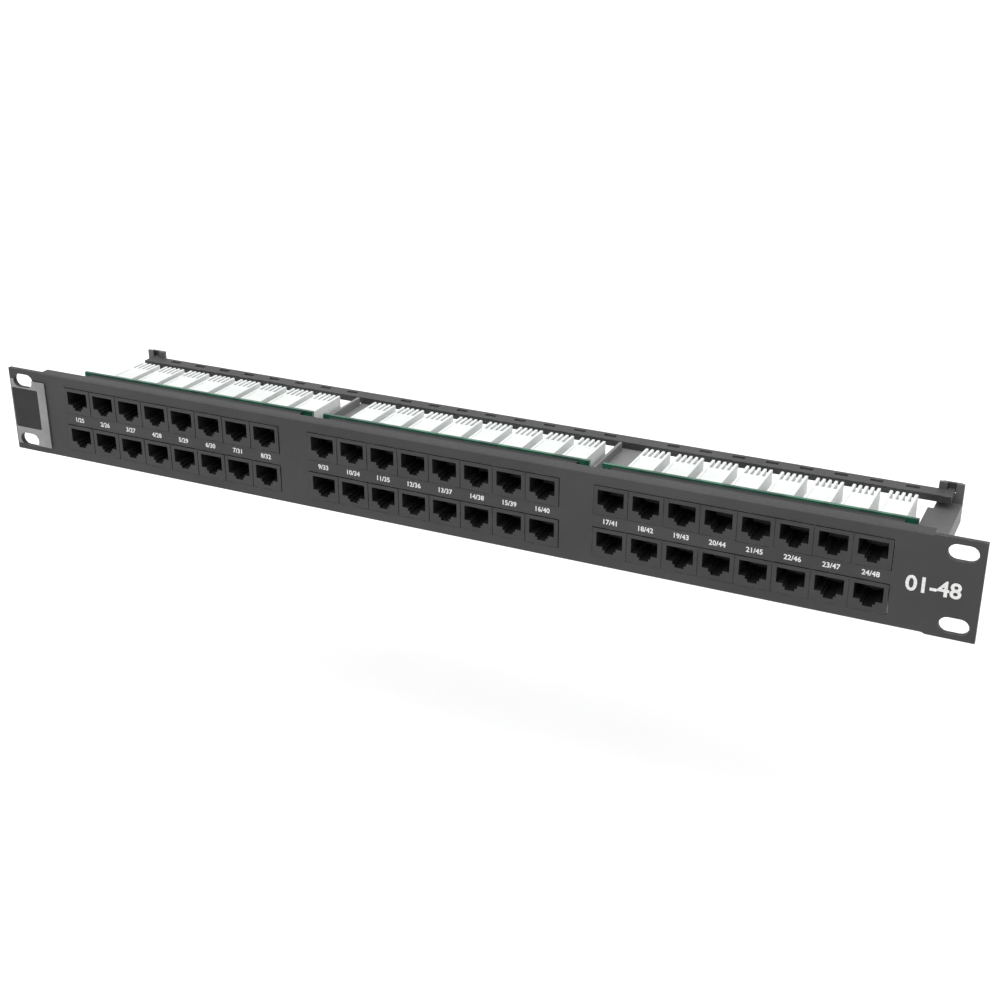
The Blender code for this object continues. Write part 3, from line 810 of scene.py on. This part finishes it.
def make_combs(row, group):
    x = group_x[group] + first_column
    top = port_top[row]
    reach = (WIRES + 1) / 2 * WIRE_PITCH
    bar = block(f"wire_combs_{row}_{group}", (x - reach, COMB_FRONT, top + COMB_LOW),
                (x + reach, COMB_BACK, top + COMB_BASE_TOP))
    tooth_x = x - WIRES / 2 * WIRE_PITCH
    tooth = block("tooth",
                  (tooth_x - TOOTH_WIDTH / 2, COMB_FRONT + TOOTH_INSET, top + COMB_LOW + TOOTH_ROOT),
                  (tooth_x + TOOTH_WIDTH / 2, COMB_BACK - TOOTH_INSET, top + COMB_TOOTH_TOP))
    open_edit(tooth, "EDGE")
    choose("edges", lambda e: all(v.co.z > top + COMB_TOOTH_TOP - HAIR for v in e.verts)
           and abs(e.verts[0].co.x - e.verts[1].co.x) < 1e-6)
    bpy.ops.mesh.bevel(offset=TOOTH_CHAMFER, segments=1, affect="EDGES")
    close_edit()
    repeat(tooth, WIRES + 1, (WIRE_PITCH, 0, 0))
    piece = merge_into(bar, [tooth])
    repeat(piece, COLUMNS, (pitch, 0, 0))
    return mount(piece, "panel", "carrier_plastic", finish["carrier"])


for row in ROWS:
    for group in GROUPS:
        make_combs(row, group)
print("comb teeth per row:", (WIRES + 1) * COLUMNS)

# %% [markdown]
# ## Connection blocks
#
# Behind each column stands a white block where the building's wires are pressed between sprung
# blades. Wires are laid down through its four rear slots, from above into the upper blades and
# from below into the lower ones, and a trough across the middle lets them in and out. The block
# starts as a cube: recesses are inset in its top and bottom, and slots and trough are cut.

# %% One connection block
SLOTS = 4
SLOT_WIDTH = 1.2 * MM
SLOT_DEPTH = 9.0 * MM
TROUGH_HALF = 1.5 * MM
TROUGH_DEPTH = 9.6 * MM
RECESS_RIM = 1.3 * MM
RECESS_DEPTH = 0.45 * MM
RECESS_SETBACK = 1.2 * MM
TIP_NOTCH = 0.55 * MM
BLOCK_EDGE = 0.16 * MM

block_low, block_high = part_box("idc_block_01")
block_width = block_high.x - block_low.x
slot_pitch = block_width / (SLOTS + 0.5)
slot_start = centre("idc_block_01").x - (SLOTS - 1) / 2 * slot_pitch
slot_floor = block_high.y - SLOT_DEPTH


def make_block():
    piece = block("connection_block", block_low, block_high)
    open_edit(piece)
    bpy.ops.mesh.select_all(action="SELECT")
    bpy.ops.mesh.bisect(plane_co=(0, slot_floor - RECESS_SETBACK, 0), plane_no=(0, 1, 0))
    for up in (1, -1):
        choose("faces", lambda f: f.normal.z * up > 0.9 and f.calc_center_median().y < slot_floor)
        bpy.ops.mesh.inset(thickness=RECESS_RIM)
        bpy.ops.mesh.extrude_region_move(TRANSFORM_OT_translate={"value": (0, 0, -up * RECESS_DEPTH)})
    close_edit()
    slots = block("slot", (slot_start - SLOT_WIDTH / 2, slot_floor, block_low.z - MM),
                  (slot_start + SLOT_WIDTH / 2, block_high.y + MM, block_high.z + MM))
    repeat(slots, SLOTS, (slot_pitch, 0, 0))
    cut(piece, slots)
    trough = block("trough", (block_low.x - MM, block_high.y - TROUGH_DEPTH, -TROUGH_HALF),
                   (block_high.x + MM, block_high.y + MM, TROUGH_HALF))
    cut(piece, trough)
    lead = block("lead", (slot_start - SLOT_WIDTH, block_high.y - TIP_NOTCH, block_low.z - MM),
                 (slot_start + SLOT_WIDTH, block_high.y + MM, block_high.z + MM))
    open_edit(lead)
    choose("faces", lambda f: f.normal.y < -0.9)
    bpy.ops.transform.resize(value=(0.5, 1, 1))
    close_edit()
    repeat(lead, SLOTS, (slot_pitch, 0, 0))
    cut(piece, lead)
    round_edges(piece, BLOCK_EDGE, 1)
    return piece


one_block = make_block()
print("one connection block:", len(one_block.data.polygons), "faces")

# %% [markdown]
# ## Blades
#
# Each wire is gripped by a thin forked blade that stands across its slot. Two slim prongs with a
# hairline between them are enough, tapered at the tips so the wire is led in. They are made for
# one block, four rows to a slot, then copied along with it.

# %% One block's blades
BLADE_THICK = 0.45 * MM
PRONG_WIDTH = 0.42 * MM
PRONG_GAP = 0.16 * MM
BLADE_TIP = 2.4 * MM
BLADE_ROOT = 0.2 * MM
TIP_LENGTH = 0.8 * MM
TIP_TAPER = 0.35
TIP_LEAN = 0.13 * MM
BLADE_ROWS = (-9.2 * MM, -4.2 * MM, 4.2 * MM, 9.2 * MM)


def make_blades():
    prongs = []
    for z in BLADE_ROWS:
        for side in (-1, 1):
            inner = slot_start + side * PRONG_GAP / 2
            outer = slot_start + side * (PRONG_GAP / 2 + PRONG_WIDTH)
            shoulder = block_high.y - BLADE_TIP - TIP_LENGTH
            prong = block("prong", (min(inner, outer), slot_floor - BLADE_ROOT, z - BLADE_THICK / 2),
                          (max(inner, outer), shoulder, z + BLADE_THICK / 2))
            open_edit(prong)
            choose("faces", lambda f: f.normal.y > 0.9)
            bpy.ops.mesh.extrude_region_move(TRANSFORM_OT_translate={"value": (0, TIP_LENGTH, 0)})
            bpy.ops.transform.resize(value=(TIP_TAPER, 1, 1))
            bpy.ops.transform.translate(value=(side * TIP_LEAN, 0, 0))
            close_edit()
            prongs.append(prong)
    piece = merge_into(prongs[0], prongs[1:])
    return repeat(piece, SLOTS, (slot_pitch, 0, 0))


one_set = make_blades()
print("one block's blades:", len(one_set.data.polygons), "faces")

# %% Copies for all the columns
first_x = centre("idc_block_01").x
for number in range(1, len(GROUPS) * COLUMNS + 1):
    node_name = f"idc_block_{number:02d}"
    shift = (centre(node_name).x - first_x, 0, 0)
    mount(copied(one_block, f"connection_block_{number:02d}", shift), "panel", "block_plastic",
          finish["block"], node_name)
    mount(copied(one_set, f"blades_{number:02d}", shift), "panel", "contact_metal", finish["tin"])
for used in (one_block, one_set):
    bpy.data.objects.remove(used, do_unlink=True)
print("connection blocks placed:", number)

# %% [markdown]
# ## Solder joints
#
# The sockets' pins come through the boards above and below the blocks and are soldered there.
# A solder joint is a small cone round the pin's cut end. A cone with a narrow top, extruded a
# little further as the pin, repeats well: four by two for each socket, in two staggered lines.

# %% Solder joints
JOINT_RADIUS = 0.62 * MM
JOINT_TIP_RADIUS = 0.16 * MM
JOINT_HEIGHT = 0.75 * MM
JOINT_SIDES = 8
JOINTS_IN_LINE = 4
PIN_LENGTH = 0.35 * MM
PIN_STEP = 2 * WIRE_PITCH
JOINT_LINES = ((0.0, 13.5 * MM), (0.5, 15.1 * MM))


def make_joints(row, group):
    side = 1 if row == "upper" else -1
    lines = []
    for offset, height in JOINT_LINES:
        x = group_x[group] + first_column + (offset - 1.75) * PIN_STEP
        line = rod("joint", (x, board_back + HAIR, side * height), board_back + JOINT_HEIGHT,
                   JOINT_RADIUS, JOINT_SIDES, JOINT_TIP_RADIUS)
        open_edit(line)
        choose("faces", lambda f: f.normal.y > 0.9)
        bpy.ops.mesh.extrude_region_move(TRANSFORM_OT_translate={"value": (0, PIN_LENGTH, 0)})
        close_edit()
        repeat(line, JOINTS_IN_LINE, (PIN_STEP, 0, 0))
        lines.append(line)
    piece = merge_into(lines[0], lines[1:])
    repeat(piece, COLUMNS, (pitch, 0, 0))
    return mount(piece, "panel", "contact_metal", finish["tin"])


for row in ROWS:
    for group in GROUPS:
        made = make_joints(row, group)
print("solder joints per row:", 2 * JOINTS_IN_LINE * COLUMNS, "faces:", len(made.data.polygons))

# %% [markdown]
# ## Screws and nuts
#
# A pan-head screw has a rounded head with a cross pressed into it. A nut has its corners cut back
# by a cone. Both start as turned primitives. The cross is two crossed wedges taken out of the
# head, and the nut is the common part of a hexagon and a shallow cone.

# %% Board screws
CROSS_WIDTH = 0.55 * MM
CROSS_LENGTH = 2.5 * MM
CROSS_DEPTH = 0.9 * MM
CROSS_TAPER = 0.55
HEAD_HEIGHT = 1.5 * MM
HEAD_ROUND = 0.55 * MM
SHANK_RADIUS = 1.2 * MM
SHANK_SUNK = 0.2 * MM
SCREW_EDGE = 0.06 * MM


def make_screw(side, group):
    name = f"board_screw_{side}_{group}"
    low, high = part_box(name)
    middle = (low + high) / 2
    radius = (high.x - low.x) / 2
    seat = high.y - HEAD_HEIGHT
    head = rod("cross_head_" + side + "_" + group, (middle.x, seat, middle.z), high.y, radius, 32)
    open_edit(head, "EDGE")
    choose("edges", lambda e: all(v.co.y > high.y - HAIR for v in e.verts))
    bpy.ops.mesh.bevel(offset=HEAD_ROUND, segments=4, affect="EDGES")
    close_edit()
    for span in ((CROSS_LENGTH, CROSS_WIDTH), (CROSS_WIDTH, CROSS_LENGTH)):
        tool = block("cross", (middle.x - span[0] / 2, high.y - CROSS_DEPTH, middle.z - span[1] / 2),
                     (middle.x + span[0] / 2, high.y + MM, middle.z + span[1] / 2))
        open_edit(tool)
        choose("faces", lambda f: f.normal.y < -0.9)
        bpy.ops.transform.resize(value=(CROSS_TAPER, 1, CROSS_TAPER))
        close_edit()
        cut(head, tool)
    shank = rod("shank", (middle.x, low.y, middle.z), seat + SHANK_SUNK, SHANK_RADIUS, 20)
    piece = cut(head, shank, "UNION")
    round_edges(piece, SCREW_EDGE, 1, 55)
    return mount(piece, "panel", "fastener_steel", finish["zinc"], name)


for side in ("upper", "lower"):
    for group in GROUPS:
        made = make_screw(side, group)
print("board screw:", len(made.data.polygons), "faces")


# %% Nuts
BORE_RADIUS = 1.7 * MM
CORNER_CUT = 0.35 * MM
CONE_SPREAD = 1.7 * MM
NUT_EDGE = 0.10 * MM


def make_nut(name):
    low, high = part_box(name)
    middle = (low + high) / 2
    corner = (high.z - low.z) / 2
    bpy.ops.object.select_all(action="DESELECT")
    bpy.ops.mesh.primitive_cylinder_add(vertices=6, radius=corner, depth=high.y - low.y,
                                        location=middle, rotation=(math.pi / 2, 0, 0))
    piece = bpy.context.object
    piece.name = "turned_" + name
    settle(piece)
    tool = rod("cone", (middle.x, low.y - MM, middle.z), high.y + HAIR, corner + CONE_SPREAD, 40,
               corner - CORNER_CUT)
    cut(piece, tool, "INTERSECT")
    bore = rod("bore", (middle.x, low.y - MM, middle.z), high.y + MM, BORE_RADIUS, 32)
    cut(piece, bore)
    round_edges(piece, NUT_EDGE, 2, 50)
    return mount(piece, "panel", "fastener_steel", finish["zinc"], name)


nut_nodes = [name for name in sorted(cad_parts) if "_nut_" in name]
for name in nut_nodes:
    made = make_nut(name)
print("nuts:", len(nut_nodes), "faces each:", len(made.data.polygons))

# %% [markdown]
# ## Brackets and cable bar
#
# The arms, ribs and bar are folded strip steel. The bar has the front's dark powder coat, the
# arms and ribs a lighter one, and all have lighter edges: a painted highlight, and also wear where
# hands and cable ties rub them. Their shape is right in the frame, so a merged copy with rounded
# edges is all they need.

# %% Brackets and bar
STRIP_EDGE = 0.28 * MM

for name, paint in (("side_arm_left", "bracket"), ("side_arm_right", "bracket"),
                    ("centre_rib_left", "rib"), ("centre_rib_right", "rib")):
    strip = copy_of_node(name, "folded_" + name)
    round_edges(strip, STRIP_EDGE)
    mount(strip, "panel", "bracket_steel", finish[paint], name)

bar = copy_of_node("cable_bar", "folded_cable_bar")
round_edges(bar, STRIP_EDGE)
mount(bar, "bar", "bracket_steel", finish["bar"], "cable_bar")
print("cable bar:", len(bar.data.polygons), "faces")

# %% [markdown]
# ## Print and label
#
# Screen print is a film of ink with a real thickness, small as it is. Text objects are turned to
# face the front, made into meshes and laid on the steel. One mark for each column names its upper
# and its lower socket. A larger mark at the right gives the whole range.

# %% Numbers
INK_THICK = 0.02 * MM
MARK_HEIGHT = 3.2 * MM
RANGE_HEIGHT = 9.4 * MM
RANGE_PLACE = (223.0 * MM, -1.0 * MM)
BOLDNESS = 0.022


def print_text(name, words, x, z, height):
    bpy.ops.object.select_all(action="DESELECT")
    bpy.ops.object.text_add(location=(x, sheet_front - INK_THICK, z), rotation=(math.pi / 2, 0, 0))
    text = bpy.context.object
    text.name = name
    text.data.body = words
    text.data.size = height
    text.data.align_x = "CENTER"
    text.data.align_y = "CENTER"
    text.data.extrude = INK_THICK
    text.data.resolution_u = 3
    text.data.offset = BOLDNESS * height
    bpy.ops.object.convert(target="MESH")
    return settle(bpy.context.object)


marks = []
for index, group in enumerate(GROUPS):
    for column in range(COLUMNS):
        upper = index * COLUMNS + column + 1
        words = f"{upper}/{upper + len(GROUPS) * COLUMNS}"
        x = group_x[group] + first_column + column * pitch
        marks.append(print_text("mark", words, x, 0.0, MARK_HEIGHT))
numbers = merge_into(marks[0], marks[1:])
numbers.name = "port_numbers"
mount(numbers, "panel", "label_film", finish["ink"])

range_mark = print_text("range_number", "01-48", *RANGE_PLACE, RANGE_HEIGHT)
mount(range_mark, "panel", "label_film", finish["ink"])
print("marks:", len(marks), "faces:", len(numbers.data.polygons))

# %% Label
FIELD_X = (-239.8 * MM, -223.6 * MM)
FIELD_Z = (-9.2 * MM, 11.9 * MM)
FIELD_PROUD = 0.08 * MM
FIELD_SUNK = 0.05 * MM
FIELD_CORNER = 0.8 * MM
PLATE_EDGE = 0.12 * MM
label_low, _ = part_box("label_plate")

plate = copy_of_node("label_plate", "label_film_plate")
round_edges(plate, PLATE_EDGE)
mount(plate, "panel", "label_film", finish["label"], "label_plate")

field = block("label_dark_field", (FIELD_X[0], label_low.y - FIELD_PROUD, FIELD_Z[0]),
              (FIELD_X[1], label_low.y + FIELD_SUNK, FIELD_Z[1]))
open_edit(field, "EDGE")
choose("edges", lambda e: abs(e.verts[0].co.y - e.verts[1].co.y) > FIELD_PROUD)
bpy.ops.mesh.bevel(offset=FIELD_CORNER, segments=4, affect="EDGES")
close_edit()
mount(field, "panel", "label_film", finish["field"])
print("label field faces:", len(field.data.polygons))

# %% [markdown]
# ## The frame's own pieces
#
# Boards and contact carriers keep the frame's shape: a board is a flat sheet and a carrier is
# hidden behind its sockets. They only need their materials.

# %% Materials on frame nodes
for group in GROUPS:
    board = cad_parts["circuit_board_" + group]
    board.data.materials.clear()
    board.data.materials.append(finish["board"])
    for row in ROWS:
        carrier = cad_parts[f"contact_carrier_{row}_{group}"]
        carrier.data.materials.clear()
        carrier.data.materials.append(finish["carrier"])
print("frame nodes dressed:", 3 * len(GROUPS))

# %% [markdown]
# ## Check the size
#
# The dressed model must stay as large as the working one.

# %% Size
now_low, now_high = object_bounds()
grown = (now_high - now_low) - (cad_high - cad_low)
print("grown by", [round(value / MM, 2) for value in grown], "mm")
